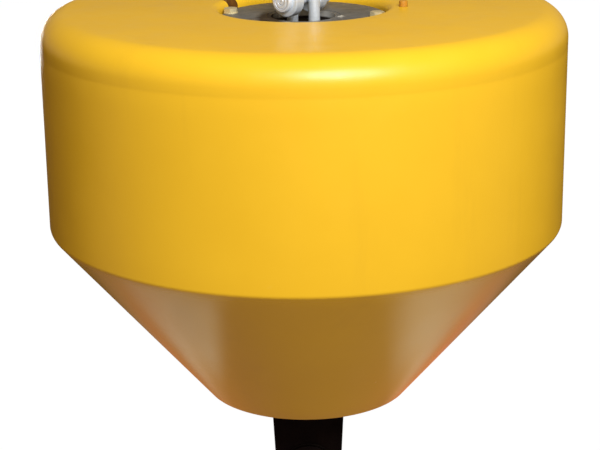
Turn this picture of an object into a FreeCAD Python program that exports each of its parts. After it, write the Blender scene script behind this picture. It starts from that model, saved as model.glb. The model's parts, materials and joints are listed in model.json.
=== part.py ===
"""Mooring buoy: a foam-filled float on a steel core, a mooring link with its shackle on top, an eye below.

Millimetres, +Z up. The origin is on the buoy's axis at its waterline. The eye plate's faces look
along Y, and the top and bottom steelwork is centred on the same axis.
"""
import FreeCAD
import Part
import enum
import math
import os

import Sketcher

DRIVING_SIZES = {
    # float
    "float_radius": 500,
    "freeboard": 287,
    "knuckle_depth": 125,
    "cone_height": 355,
    "cone_foot_radius": 201,
    "shoulder_radius": 52,
    "knuckle_round": 12,
    "foot_round": 7,
    # well in the top, and the notch and filler plug beside it
    "well_radius": 160,
    "well_depth": 33,
    "well_lip_round": 16,
    "notch_width": 32,
    "notch_reach": 28,
    "plug_radius": 8,
    "plug_depth": 20,
    "plug_proud": 11,
    "plug_setback": 14,
    # steel core
    "core_radius": 70,
    "core_wall": 8,
    "core_setback": 1,
    "plate_thickness": 15,
    "plate_edge_gap": 3,
    "flange_radius": 140,
    "flange_thickness": 15,
    "seat_thickness": 22,
    "seat_depth": 15,
    # fixed mooring link
    "link_bar_radius": 11,
    "link_half_span": 27,
    "link_rise": 32,
    # lower eye plate
    "eye_top_width": 151,
    "eye_end_radius": 66,
    "eye_drop": 192,
    "eye_thickness": 30,
    "eye_hole_radius": 25,
    "cheek_radius": 55,
    "cheek_thickness": 8,
    # shackle
    "shackle_pin_radius": 13,
    "shackle_jaw": 46,
    "shackle_side_gap": 3,
    "shackle_bar_radius": 12,
    "shackle_bow_inside": 68,
    "shackle_inside_length": 95,
    "shackle_neck_bend": 30,
    "shackle_ear_radius": 31,
    "pin_head_radius": 21,
    "pin_head_height": 9,
    "pin_tail": 27,
    "nut_across_flats": 41,
    "nut_height": 19,
    # clearances
    "fixed_gap": 0.3,
    "pin_hole_gap": 0.3,
    "seated_gap": 0.3,
}

LINK_YAW = -40
SHACKLE_YAW = -130
NOTCH_AZIMUTH = 149
PLUG_AZIMUTH = -6

document = FreeCAD.newDocument("MooringBuoy")
sheet = document.addObject("Spreadsheet::Sheet", "Sizes")
for row, (size_name, number) in enumerate(DRIVING_SIZES.items(), start=1):
    sheet.set(f"A{row}", size_name)
    sheet.set(f"B{row}", str(number))
    sheet.setAlias(f"B{row}", size_name)
document.recompute()


class Size:
    """A length with its number and the spreadsheet expression that drives it."""

    def __init__(self, number, text):
        self.number = float(number)
        self.text = text

    def __add__(self, other):
        other = as_size(other)
        return Size(self.number + other.number, f"({self.text} + {other.text})")

    def __sub__(self, other):
        other = as_size(other)
        return Size(self.number - other.number, f"({self.text} - {other.text})")

    def __mul__(self, factor):
        return Size(self.number * factor, f"({self.text} * {factor})")

    def __truediv__(self, divisor):
        return Size(self.number / divisor, f"({self.text} / {divisor})")

    def __neg__(self):
        return Size(-self.number, f"(0 - {self.text})")


def as_size(value):
    return value if isinstance(value, Size) else Size(value, str(value))


def size(name):
    return Size(sheet.get(name), f"Sizes.{name}")


def bind(thing, **properties):
    """Sets each property to a size and ties it to the sheet."""
    for name, value in properties.items():
        setattr(thing, name, value.number)
        thing.setExpression(name, value.text)


# Heights and radii that several pieces share, all from the driving sizes.
TOP = size("freeboard")
KNUCKLE = -size("knuckle_depth")
FOOT = -(size("knuckle_depth") + size("cone_height"))
WELL_FLOOR = TOP - size("well_depth")
PLATE_TOP = WELL_FLOOR + size("plate_thickness")
PLATE_RADIUS = size("well_radius") - size("plate_edge_gap")
FLANGE_TOP = FOOT + size("flange_thickness")
CORE_INSIDE = size("core_radius") - size("core_wall")
CORE_BORE = size("core_radius") + size("fixed_gap")
TUBE_TOP = PLATE_TOP - size("core_setback")
SEAT_TOP = PLATE_TOP - size("seat_depth")
SEAT_BOTTOM = SEAT_TOP - size("seat_thickness")
LINK_CROWN_UNDERSIDE = (
    PLATE_TOP + size("link_rise") + size("link_half_span") - size("link_bar_radius")
)
PIN_HEIGHT = LINK_CROWN_UNDERSIDE - size("seated_gap") - size("shackle_pin_radius")
EYE_HEIGHT = FOOT - size("eye_drop")
PIN_HOLE = size("shackle_pin_radius") + size("pin_hole_gap")
SHACKLE_SLIDE = size("shackle_jaw") / 2 - size("link_bar_radius") - size("shackle_side_gap")
EAR_THICKNESS = size("shackle_bar_radius") * 2
EAR_CENTRE = size("shackle_jaw") / 2 + size("shackle_bar_radius")
EAR_OUTSIDE = size("shackle_jaw") / 2 + EAR_THICKNESS
PLUG_OFFSET = size("well_radius") + size("well_lip_round") + size("plug_setback")


class Spot(enum.IntEnum):
    """How Sketcher numbers the points of an edge. Its origin is the start of edge -1."""

    START = enum.auto()
    END = enum.auto()
    CENTRE = enum.auto()


# ---- drawing helpers ----------------------------------------------------------------------------

def new_body(label):
    body = document.addObject("PartDesign::Body", label)
    body.Label = label
    return body


def new_sketch(body, name, role, offset=None, turn=0):
    """A sketch on one of the body's own origin planes, moved off it and turned in it if asked."""
    sketch = body.newObject("Sketcher::SketchObject", name)
    plane = next(item for item in body.Origin.OriginFeatures if item.Role == role)
    sketch.AttachmentSupport = (plane, [""])
    sketch.MapMode = "FlatFace"
    if offset is not None:
        rotation = FreeCAD.Rotation(FreeCAD.Vector(0, 0, 1), turn)
        sketch.AttachmentOffset = FreeCAD.Placement(FreeCAD.Vector(0, 0, offset.number), rotation)
        sketch.setExpression(".AttachmentOffset.Base.z", offset.text)
    return sketch


def constrain(sketch, *terms, to=None):
    """Adds a constraint, tied to a size where one is given."""
    if to is None:
        return sketch.addConstraint(Sketcher.Constraint(*terms))
    index = sketch.addConstraint(Sketcher.Constraint(*terms, to.number))
    sketch.setExpression(f"Constraints[{index}]", to.text)
    return index


def pin_point(sketch, edge, end, across, up):
    """Holds a point at sizes measured from the sketch's origin, or on an axis where one is None.

    Sketcher numbers the axis that runs across the sketch -1 and the one that runs up it -2.
    """
    if across is None:
        constrain(sketch, "PointOnObject", edge, end, -2)
    else:
        constrain(sketch, "DistanceX", -1, Spot.START, edge, end, to=across)
    if up is None:
        constrain(sketch, "PointOnObject", edge, end, -1)
    else:
        constrain(sketch, "DistanceY", -1, Spot.START, edge, end, to=up)


def place(across, up):
    return FreeCAD.Vector(across.number if across else 0, up.number if up else 0, 0)


def draw_line(sketch, start, end):
    return sketch.addGeometry(Part.LineSegment(start, end), False)


def draw_arc(sketch, centre, radius, start_degrees, end_degrees):
    """An arc drawn anticlockwise between two angles."""
    circle = Part.Circle(centre, FreeCAD.Vector(0, 0, 1), radius)
    arc = Part.ArcOfCircle(circle, math.radians(start_degrees), math.radians(end_degrees))
    return sketch.addGeometry(arc, False)


def draw_outline(sketch, corners):
    """A closed outline of straight lines through corners given as pairs of sizes."""
    points = [place(across, up) for across, up in corners]
    edges = [draw_line(sketch, start, end) for start, end in zip(points, points[1:] + points[:1])]
    for edge, after in zip(edges, edges[1:] + edges[:1]):
        constrain(sketch, "Coincident", edge, Spot.END, after, Spot.START)
    for edge, (across, up) in zip(edges, corners):
        pin_point(sketch, edge, Spot.START, across, up)


def draw_circle(sketch, radius, across=None, up=None):
    """A circle bound to its radius and place, on an axis where no place is given."""
    circle = Part.Circle(place(across, up), FreeCAD.Vector(0, 0, 1), radius.number)
    edge = sketch.addGeometry(circle, False)
    pin_point(sketch, edge, Spot.CENTRE, across, up)
    constrain(sketch, "Radius", edge, to=radius)
    return edge


def pad(body, sketch, name, length, symmetric=False):
    feature = body.newObject("PartDesign::Pad", name)
    feature.Profile = sketch
    bind(feature, Length=length)
    if symmetric:
        feature.SideType = "Symmetric"
    return feature


def pocket(body, sketch, name, length):
    feature = body.newObject("PartDesign::Pocket", name)
    feature.Profile = sketch
    bind(feature, Length=length)
    return feature


def pipe(body, profile, spine, name):
    feature = body.newObject("PartDesign::AdditivePipe", name)
    feature.Profile = profile
    feature.Spine = (spine, [f"Edge{number + 1}" for number in range(spine.GeometryCount)])
    return feature


def stand(body, height, yaw=0, slide=None):
    """Stands a body at a height above the waterline, turned about the buoy's axis.

    A slide moves it off that axis, along its own X.
    """
    rotation = FreeCAD.Rotation(FreeCAD.Vector(0, 0, 1), yaw)
    body.Placement = FreeCAD.Placement(FreeCAD.Vector(0, 0, height.number), rotation)
    body.setExpression(".Placement.Base.z", height.text)
    if slide is not None:
        direction = math.radians(yaw)
        body.setExpression(".Placement.Base.x", (slide * math.cos(direction)).text)
        body.setExpression(".Placement.Base.y", (slide * math.sin(direction)).text)


def ring(label, outer, inner, bottom, height):
    """A flat ring, disc or tube on the buoy's axis."""
    body = new_body(label)
    sketch = new_sketch(body, f"{label}_outline", "XY_Plane")
    draw_circle(sketch, outer)
    if inner is not None:
        draw_circle(sketch, inner)
    pad(body, sketch, f"{label}_pad", height)
    stand(body, bottom)


def ring_edges(shape, radius, height):
    """Names of a shape's circular edges with this radius at this height."""
    return [
        f"Edge{index}"
        for index, edge in enumerate(shape.Edges, start=1)
        if hasattr(edge.Curve, "Radius")
        and abs(edge.Curve.Radius - radius.number) < 0.001
        and abs(edge.Curve.Center.z - height.number) < 0.001
    ]


def round_ring(body, base, name, at_radius, at_height, rounding):
    """Rounds the circular edge at this radius and height."""
    document.recompute()
    feature = body.newObject("PartDesign::Fillet", name)
    feature.Base = (base, ring_edges(base.Shape, at_radius, at_height))
    bind(feature, Radius=rounding)
    return feature


# ---- float --------------------------------------------------------------------------------------

def make_float():
    """The moulded float: straight sides above a cone, a well in the top, a core bore through it."""
    body = new_body("float_body")
    outline = new_sketch(body, "float_outline", "XZ_Plane")
    flange_recess = size("flange_radius") + size("fixed_gap")
    draw_outline(outline, [
        (CORE_BORE, WELL_FLOOR),
        (size("well_radius"), WELL_FLOOR),
        (size("well_radius"), TOP),
        (size("float_radius"), TOP),
        (size("float_radius"), KNUCKLE),
        (size("cone_foot_radius"), FOOT),
        (flange_recess, FOOT),
        (flange_recess, FLANGE_TOP),
        (CORE_BORE, FLANGE_TOP),
    ])
    turned = body.newObject("PartDesign::Revolution", "float_turned")
    turned.Profile = outline
    turned.ReferenceAxis = (outline, ["V_Axis"])
    turned.Angle = 360
    shaped = round_ring(body, turned, "shoulder", size("float_radius"), TOP, size("shoulder_radius"))
    shaped = round_ring(body, shaped, "knuckle", size("float_radius"), KNUCKLE, size("knuckle_round"))
    shaped = round_ring(body, shaped, "foot", size("cone_foot_radius"), FOOT, size("foot_round"))
    round_ring(body, shaped, "well_lip", size("well_radius"), TOP, size("well_lip_round"))
    return body


def cut_notch(body):
    """A notch in the well's wall, for draining the well and lifting the plate."""
    outline = new_sketch(body, "notch_outline", "XY_Plane", TOP, NOTCH_AZIMUTH)
    inner = size("well_radius") - size("plate_edge_gap")
    outer = size("well_radius") + size("notch_reach")
    half = size("notch_width") / 2
    draw_outline(outline, [(inner, -half), (outer, -half), (outer, half), (inner, half)])
    pocket(body, outline, "notch", size("well_depth"))


def cut_plug_hole(body):
    outline = new_sketch(body, "plug_hole_outline", "XY_Plane", TOP, PLUG_AZIMUTH)
    draw_circle(outline, size("plug_radius") + size("fixed_gap"), PLUG_OFFSET)
    pocket(body, outline, "plug_hole", size("plug_depth"))


def make_plug():
    """The filler plug that closes the foaming hole, standing proud of the top."""
    body = new_body("fill_plug")
    outline = new_sketch(body, "plug_outline", "XY_Plane")
    draw_circle(outline, size("plug_radius"), PLUG_OFFSET)
    pad(body, outline, "plug_pad", size("plug_depth") + size("plug_proud"))
    stand(body, TOP - size("plug_depth"), PLUG_AZIMUTH)


# ---- fixed steelwork ----------------------------------------------------------------------------

def make_link():
    """The mooring link: a round bar bent over, both legs welded to the seat inside the core tube."""
    body = new_body("mooring_link")
    spine = new_sketch(body, "link_spine", "XZ_Plane")
    half = size("link_half_span")
    leg = size("seat_depth") + size("link_rise")
    left = draw_line(spine, place(-half, None), place(-half, leg))
    crown = draw_arc(spine, place(None, leg), half.number, 0, 180)
    right = draw_line(spine, place(half, leg), place(half, None))
    constrain(spine, "Coincident", left, Spot.END, crown, Spot.END)
    constrain(spine, "Coincident", right, Spot.START, crown, Spot.START)
    pin_point(spine, left, Spot.START, -half, None)
    pin_point(spine, left, Spot.END, -half, leg)
    pin_point(spine, right, Spot.START, half, leg)
    pin_point(spine, right, Spot.END, half, None)
    constrain(spine, "DistanceY", -1, Spot.START, crown, Spot.CENTRE, to=leg)
    section = new_sketch(body, "link_section", "XY_Plane")
    draw_circle(section, size("link_bar_radius"), -half)
    pipe(body, section, spine, "link_bar")
    stand(body, SEAT_TOP, LINK_YAW)


def make_eye():
    """The lower eye plate: sides that taper to a round end, with the mooring hole at its centre."""
    body = new_body("bottom_eye")
    outline = new_sketch(body, "eye_outline", "XZ_Plane")
    half = size("eye_top_width") / 2
    drop = size("eye_drop")
    end_radius = size("eye_end_radius")
    reach = math.hypot(half.number, drop.number)
    lean = math.degrees(math.acos(end_radius.number / reach) - math.atan2(drop.number, half.number))
    centre = place(None, -drop)
    touch = FreeCAD.Vector(math.cos(math.radians(lean)), -math.sin(math.radians(lean)), 0)
    right_touch = centre + touch * end_radius.number
    left_touch = FreeCAD.Vector(-right_touch.x, right_touch.y, 0)
    top = draw_line(outline, place(-half, None), place(half, None))
    right = draw_line(outline, place(half, None), right_touch)
    bottom = draw_arc(outline, centre, end_radius.number, 180 + lean, 360 - lean)
    left = draw_line(outline, left_touch, place(-half, None))
    pin_point(outline, top, Spot.START, -half, None)
    pin_point(outline, top, Spot.END, half, None)
    constrain(outline, "Coincident", top, Spot.END, right, Spot.START)
    constrain(outline, "Tangent", right, Spot.END, bottom, Spot.END)
    constrain(outline, "Tangent", left, Spot.START, bottom, Spot.START)
    constrain(outline, "Coincident", left, Spot.END, top, Spot.START)
    pin_point(outline, bottom, Spot.CENTRE, None, -drop)
    constrain(outline, "Radius", bottom, to=end_radius)
    draw_circle(outline, size("eye_hole_radius"), None, -drop)
    pad(body, outline, "eye_pad", size("eye_thickness"), symmetric=True)
    stand(body, FOOT)


def make_cheek(label, offset):
    """A ring welded round the eye's hole; the offset is measured towards the plate's front."""
    body = new_body(label)
    outline = new_sketch(body, f"{label}_outline", "XZ_Plane", offset)
    draw_circle(outline, size("cheek_radius"), None, -size("eye_drop"))
    draw_circle(outline, size("eye_hole_radius"), None, -size("eye_drop"))
    pad(body, outline, f"{label}_pad", size("cheek_thickness"))
    stand(body, FOOT)


# ---- shackle: drawn with its pin along X and its bow upright, then turned and lifted --------------

def stand_shackle_piece(body):
    """The shackle hangs slid along its pin, with its far ear close to the link."""
    stand(body, PIN_HEIGHT, SHACKLE_YAW, SHACKLE_SLIDE)


def draw_bow_line(spine):
    """The bow's centre line: up from each ear, out round the neck and over the crown."""
    ear = EAR_CENTRE
    neck = size("shackle_neck_bend")
    bow = size("shackle_bow_inside") / 2 + size("shackle_bar_radius")
    bow_height = size("shackle_inside_length") + size("shackle_bar_radius") - bow
    side = ear.number + neck.number
    rise = math.sqrt((bow.number + neck.number) ** 2 - side ** 2)
    neck_height = bow_height.number - rise
    swing = math.degrees(math.atan2(rise, side))
    neck_place = FreeCAD.Vector(side, neck_height, 0)
    neck_mirror = FreeCAD.Vector(-side, neck_height, 0)
    right_top = FreeCAD.Vector(ear.number, neck_height, 0)
    left_top = FreeCAD.Vector(-ear.number, neck_height, 0)
    right = draw_line(spine, place(ear, None), right_top)
    right_neck = draw_arc(spine, neck_place, neck.number, 180 - swing, 180)
    crown = draw_arc(spine, place(None, bow_height), bow.number, -swing, 180 + swing)
    left_neck = draw_arc(spine, neck_mirror, neck.number, 0, swing)
    left = draw_line(spine, left_top, place(-ear, None))
    pin_point(spine, right, Spot.START, ear, None)
    pin_point(spine, left, Spot.END, -ear, None)
    constrain(spine, "Vertical", right)
    constrain(spine, "Vertical", left)
    constrain(spine, "Tangent", right, Spot.END, right_neck, Spot.END)
    constrain(spine, "Tangent", right_neck, Spot.START, crown, Spot.START)
    constrain(spine, "Tangent", crown, Spot.END, left_neck, Spot.END)
    constrain(spine, "Tangent", left_neck, Spot.START, left, Spot.START)
    pin_point(spine, crown, Spot.CENTRE, None, bow_height)
    constrain(spine, "Radius", crown, to=bow)
    constrain(spine, "Radius", right_neck, to=neck)
    constrain(spine, "Radius", left_neck, to=neck)


def make_shackle_bow():
    """The shackle's bow with an ear at each end, both bored for the pin."""
    body = new_body("shackle_bow")
    spine = new_sketch(body, "bow_spine", "XZ_Plane")
    draw_bow_line(spine)
    section = new_sketch(body, "bow_section", "XY_Plane")
    draw_circle(section, size("shackle_bar_radius"), EAR_CENTRE)
    pipe(body, section, spine, "bow_bar")
    for side, inner in (("near", size("shackle_jaw") / 2), ("far", -EAR_OUTSIDE)):
        ear = new_sketch(body, f"ear_{side}_outline", "YZ_Plane", inner)
        draw_circle(ear, size("shackle_ear_radius"))
        pad(body, ear, f"ear_{side}", EAR_THICKNESS)
    hole = new_sketch(body, "pin_hole_outline", "YZ_Plane", EAR_OUTSIDE)
    draw_circle(hole, PIN_HOLE)
    pocket(body, hole, "pin_hole", EAR_OUTSIDE * 2)
    stand_shackle_piece(body)


def make_shackle_pin():
    """The shackle's pin, with a round head on its near end and a tail for the nut."""
    body = new_body("shackle_pin")
    shank = new_sketch(body, "shank_outline", "YZ_Plane", -EAR_OUTSIDE - size("pin_tail"))
    draw_circle(shank, size("shackle_pin_radius"))
    pad(body, shank, "shank", EAR_OUTSIDE * 2 + size("pin_tail") + size("fixed_gap"))
    head = new_sketch(body, "head_outline", "YZ_Plane", EAR_OUTSIDE + size("fixed_gap"))
    draw_circle(head, size("pin_head_radius"))
    pad(body, head, "head", size("pin_head_height"))
    stand_shackle_piece(body)


def make_shackle_nut():
    """The six-sided nut on the pin's tail."""
    body = new_body("shackle_nut")
    outer = -EAR_OUTSIDE - size("fixed_gap") - size("nut_height")
    outline = new_sketch(body, "nut_outline", "YZ_Plane", outer)
    flat = size("nut_across_flats") / 2
    corner = size("nut_across_flats") * math.tan(math.radians(30))
    draw_outline(outline, [
        (flat, -corner / 2),
        (flat, corner / 2),
        (None, corner),
        (-flat, corner / 2),
        (-flat, -corner / 2),
        (None, -corner),
    ])
    draw_circle(outline, PIN_HOLE)
    pad(body, outline, "nut_pad", size("nut_height"))
    stand_shackle_piece(body)


# ---- the whole buoy -----------------------------------------------------------------------------

def check_and_export():
    """Stops on any failed object or bad shape, then writes each sub-part to its own file."""
    for item in document.Objects:
        if "Invalid" in item.State or "Error" in item.State:
            raise RuntimeError(f"{item.Label} did not recompute: {item.State}")
    os.makedirs("parts", exist_ok=True)
    for body in document.findObjects("PartDesign::Body"):
        shape = body.Shape
        if shape.isNull() or not shape.isValid() or len(shape.Solids) != 1:
            raise RuntimeError(f"{body.Label} is not one valid solid")
        for feature in body.Group:
            if feature.isDerivedFrom("PartDesign::Pocket"):
                if feature.Shape.Volume >= feature.BaseFeature.Shape.Volume - 1:
                    raise RuntimeError(f"{feature.Label} cuts nothing")
        shape.exportStep(f"parts/{body.Label}.step")
        print(f"{body.Label}: {shape.Volume / 1000:.1f} cm3")


float_body = make_float()
cut_notch(float_body)
cut_plug_hole(float_body)
make_plug()
ring("top_plate", PLATE_RADIUS, CORE_BORE, WELL_FLOOR, size("plate_thickness"))
ring("core_tube", size("core_radius"), CORE_INSIDE, FLANGE_TOP, TUBE_TOP - FLANGE_TOP)
ring("link_seat", CORE_INSIDE - size("fixed_gap"), None, SEAT_BOTTOM, size("seat_thickness"))
ring("bottom_flange", size("flange_radius"), None, FOOT, size("flange_thickness"))
make_link()
make_eye()
make_cheek("eye_cheek_front", size("eye_thickness") / 2)
make_cheek("eye_cheek_back", -size("eye_thickness") / 2 - size("cheek_thickness"))
make_shackle_bow()
make_shackle_pin()
make_shackle_nut()
document.recompute()
check_and_export()
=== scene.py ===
"""The mooring buoy's looks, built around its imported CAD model.

Metres and degrees, in the model's own frame: Z is the buoy's axis, and zero is its design waterline.
"""
import json
import math
import random

import bmesh
import bpy
from mathutils import Matrix, Vector


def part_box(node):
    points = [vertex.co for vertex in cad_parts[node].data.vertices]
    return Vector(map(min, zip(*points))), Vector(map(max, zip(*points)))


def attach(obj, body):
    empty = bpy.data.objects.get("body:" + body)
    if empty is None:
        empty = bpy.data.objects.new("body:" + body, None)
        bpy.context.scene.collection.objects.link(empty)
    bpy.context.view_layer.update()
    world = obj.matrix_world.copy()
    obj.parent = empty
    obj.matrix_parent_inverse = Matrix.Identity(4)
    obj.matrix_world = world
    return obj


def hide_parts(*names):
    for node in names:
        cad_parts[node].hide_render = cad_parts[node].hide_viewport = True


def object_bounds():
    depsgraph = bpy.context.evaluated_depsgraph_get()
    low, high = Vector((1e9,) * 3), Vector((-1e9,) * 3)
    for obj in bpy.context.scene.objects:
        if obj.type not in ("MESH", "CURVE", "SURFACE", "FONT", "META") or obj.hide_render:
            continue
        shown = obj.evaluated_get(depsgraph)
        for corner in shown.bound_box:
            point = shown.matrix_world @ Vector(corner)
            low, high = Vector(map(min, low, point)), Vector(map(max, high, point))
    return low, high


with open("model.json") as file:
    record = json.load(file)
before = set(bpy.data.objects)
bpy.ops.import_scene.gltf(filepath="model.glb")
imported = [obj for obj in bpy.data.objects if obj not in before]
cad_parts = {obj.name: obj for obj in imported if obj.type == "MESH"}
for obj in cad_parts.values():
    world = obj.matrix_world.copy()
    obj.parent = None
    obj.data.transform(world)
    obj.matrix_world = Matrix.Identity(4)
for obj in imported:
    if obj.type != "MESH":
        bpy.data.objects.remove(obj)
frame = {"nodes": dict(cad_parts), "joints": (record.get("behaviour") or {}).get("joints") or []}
cad_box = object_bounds()

random.seed(7)

# ---- places read from the frame -----------------------------------------------------------------

FLOAT_LOW, FLOAT_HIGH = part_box("float_body")
PLATE_LOW, PLATE_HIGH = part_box("top_plate")
EYE_LOW, EYE_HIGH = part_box("bottom_eye")
PLUG_LOW, PLUG_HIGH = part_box("fill_plug")
LINK_LOW, LINK_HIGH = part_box("mooring_link")
SWING = frame["joints"][0]

RADIUS = FLOAT_HIGH.x
TOP = FLOAT_HIGH.z
FOOT = FLOAT_LOW.z
WELL_FLOOR = PLATE_LOW.z
PLATE_TOP = PLATE_HIGH.z
PLATE_RADIUS = PLATE_HIGH.x
FLANGE_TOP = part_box("bottom_flange")[1].z
PIN_CENTRE = Vector(SWING["pos_m"])
PIN_AXIS = Vector(SWING["axis"]).normalized()

# ---- sizes that the solids were made to ---------------------------------------------------------

# the float: the knuckle's height, the cone's radius at its foot, and its roundings
KNUCKLE = -0.125
CONE_FOOT = 0.201
SHOULDER_ROUND = 0.052
KNUCKLE_ROUND = 0.012
FOOT_ROUND = 0.007
WELL_RADIUS = 0.160
LIP_ROUND = 0.016
# the gap round and beside the pieces that are fixed to one another
FIXED_GAP = 0.0003
FLANGE_RECESS = 0.140 + FIXED_GAP
CORE_BORE = 0.070 + FIXED_GAP
CORE_WALL = 0.008
NOTCH = {"azimuth": 149, "width": 0.032, "reach": 0.028}
PLUG = {"azimuth": -6, "setback": 0.014, "radius": 0.008}
PLUG_OFFSET = WELL_RADIUS + LIP_ROUND + PLUG["setback"]
LINK = {"yaw": -40, "bar": 0.011, "half_span": 0.027}
SHACKLE = {
    "bar": 0.012, "jaw": 0.046, "bow_inside": 0.068, "length": 0.095,
    "neck": 0.030, "ear": 0.031, "side_gap": 0.003,
}
SHACKLE_SLIDE = SHACKLE["jaw"] / 2 - LINK["bar"] - SHACKLE["side_gap"]
EARS_OUTSIDE = SHACKLE["jaw"] / 2 + 2 * SHACKLE["bar"]
PIN = {"radius": 0.013, "head": 0.021, "head_height": 0.009, "tail": 0.027}
NUT = {"flats": 0.041, "height": 0.019}
EYE = {"top_width": 0.151, "end": 0.066, "drop": 0.192, "hole": 0.025, "cheek": 0.055}

# ---- sizes of the fine detail, which only this scene has ----------------------------------------

WELL_CORNER = 0.004
# how far above the knuckle the side's even rings stop
KNUCKLE_RUN = 0.01
SEAM = {"drop": 0.068, "half_width": 0.003, "depth": 0.0003}
NOTCH_CUT = {"overlap": 0.02, "above_floor": 0.001, "round": 0.004}
PLUG_GAP = 0.0008
PLUG_CAP = {"lift": 0.001, "round": 0.0015}
PLUG_SLOT = (0.012, 0.003, 0.004)
BOLT = {
    "count": 4, "azimuth": -12, "circle": 0.1425, "flats": 0.0240, "height": 0.0080,
    "chamfer": 0.0012, "lift": 0.0025,
}
WASHER = {"radius": 0.0140, "low": 0.0001, "high": 0.0028, "round": 0.0005}
PLATE_CHAMFER = 0.0012
# A near-black patch painted on the plate, left of the bore.
PLATE_DARK_PATCH = {
    "place": (-0.064, -0.030, 0), "stretch": (1, 0.33, 0), "edge": (0.028, 0.038),
    "colour": (0.020, 0.010, 0.006),
}
# Painted highlight: a pale spot at the bore's right edge stands in for a glint, where the link also rubs the
# zinc.
PLATE_GLINT_AND_WEAR = {
    "place": (0.0715, -0.015, 0), "stretch": (1, 0.45, 0), "edge": (0.012, 0.017),
    "colour": (0.80, 0.80, 0.76),
}
EYE_EASING = 0.0015
BEAD = {"sides": 10, "height": 0.8, "ripple": 0.10, "chance": 0.06}
CHEEK_WELD = {"offset": 0.001, "thickness": 0.003, "points": 220}
FLANGE_WELD = {"thickness": 0.0045, "spacing": 0.002}
# the link's bar; it has more draws than its path has points
ZINC_COAT = {"inset": 0.0001, "lumps": 0.00012, "draws": 400}
EAR_ROUND = 0.003
FORGING = {"voxel": 0.0011, "relax": 0.5, "passes": 6}
PIN_HEAD = {"shank_overlap": 0.002, "shank_round": 0.0015, "back_round": 0.001, "front_round": 0.0025}
PIN_GROOVES = {"radii": (0.0135, 0.0065), "depth": 0.0018}
NUT_CUT = {"chamfer": 0.0018, "bore_reach": 0.1}
SPLIT_PIN = {
    "wire": 0.0016, "leg": 0.0015, "overhang": 0.004, "eye": 0.0032, "eye_lean": 20,
    "spread": 0.0025, "bent_out": 0.006, "bent_down": 0.004, "from_ear": 0.0235,
}
CUT_OVERRUN = 0.02
CUTTER_ROUND = 0.001

# ---- the stage, which stands in for the photograph's place --------------------------------------

WHITE = (1.0, 1.0, 1.0)
FLOOR_HALF_SIDE = 12.0
CAMERA = {
    "distance": 3.19, "height": 0.838, "pan": 0.21, "tilt": 17.2, "roll": -0.75,
    "lens": 101.3, "sensor": 36,
}
LIGHTS = {
    "key": {"place": (0.91, -3.38, 2.76), "aim": (0, 0, 0), "size": (1.8, 1.8), "watts": 210},
    "back_fill": {"place": (-0.6, 3.6, -0.25), "aim": (0, 0, -0.1), "size": (2.4, 0.5), "watts": 75},
}
SKY = [(0.05, (0.33, 0.26, 0.23)), (0.30, (0.30, 0.23, 0.13))]

# The colours that the floor gives off, outwards from the buoy's axis. A distance of one is GLOW_SPAN metres.
GLOW_SPAN = 4.0
GLOW_THROWN = [(0.05, (0.06, 0.04, 0.02)), (0.10, (0.27, 0.18, 0.11)), (0.60, (0.17, 0.115, 0.075))]
GLOW_FRONT_LEFT = [
    (0.085, (0.80, 0.70, 0.54)), (0.105, (0.58, 0.53, 0.44)), (0.117, (0.37, 0.36, 0.32)),
    (0.130, (0.46, 0.40, 0.33)), (0.185, (0.36, 0.23, 0.14)), (0.230, (0.06, 0.045, 0.10)),
]
GLOW_FRONT_RIGHT = [
    (0.085, (0.95, 0.84, 0.66)), (0.105, (0.74, 0.66, 0.54)), (0.125, (0.64, 0.56, 0.46)),
    (0.150, (0.56, 0.44, 0.33)), (0.185, (0.36, 0.23, 0.14)), (0.230, (0.06, 0.045, 0.10)),
]
GLOW_SIDES = [
    (0.070, (0.50, 0.20, 0.08)), (0.084, (0.68, 0.33, 0.15)), (0.097, (0.90, 0.60, 0.38)),
    (0.110, (0.92, 0.72, 0.52)), (0.125, (0.84, 0.64, 0.48)), (0.148, (0.67, 0.46, 0.35)),
    (0.200, (0.30, 0.17, 0.10)),
]
GLOW_BACK = [
    (0.140, (0.74, 0.23, 0.11)), (0.160, (0.72, 0.22, 0.13)), (0.200, (0.41, 0.20, 0.135)),
    (0.260, (0.08, 0.05, 0.03)), (0.500, (0.02, 0.015, 0.01)),
]
GLOW_MIDDLE_AT_AXIS = (0.80, 0.36, 0.16)
GLOW_MIDDLE_IN_FRONT = (0.26, 0.16, 0.20)
GLOW_STRENGTH = {"front": 2.2, "sides": 1.5, "back": 1.5}
GLOW_BACK_LEFT_SHARE = (0.65, 0.75, 0.65)
# The X or Y at which each part of the glow is full, and the one at which it has faded out.
GLOW_EDGES = {
    "front_right": (0.1, -0.1), "left_of_middle": (-0.355, -0.300), "right_of_middle": (0.410, 0.290),
    "axis": (0.0, -0.22), "sides": (0.06, -0.06), "back": (0.26, 0.14), "back_right": (0.3, -0.3),
}


# ---- outlines -----------------------------------------------------------------------------------

def arc(centre, radius, start, end, steps):
    """Points on an arc from one angle to another, in degrees."""
    points = []
    for step in range(steps + 1):
        angle = math.radians(start + (end - start) * step / steps)
        points.append((centre[0] + radius * math.cos(angle), centre[1] + radius * math.sin(angle)))
    return points


def between(start, end, steps):
    """The points that divide a straight run into equal steps, without its two ends."""
    return [
        tuple(low + (high - low) * step / steps for low, high in zip(start, end))
        for step in range(1, steps)
    ]


def corner(before, at, after, radius, steps):
    """The points that round a corner between two straight runs."""
    at, before, after = Vector(at), Vector(before), Vector(after)
    into, out = (at - before).normalized(), (after - at).normalized()
    turn = into.angle(out)
    start = at - into * (radius * math.tan(turn / 2))
    side = Vector((-into.y, into.x))
    turns_left = side.dot(out) >= 0
    if not turns_left:
        side = -side
    centre = start + side * radius
    points = []
    for step in range(steps + 1):
        spin = Matrix.Rotation((1 if turns_left else -1) * turn * step / steps, 2)
        points.append(tuple(centre + spin @ (start - centre)))
    return points


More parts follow.
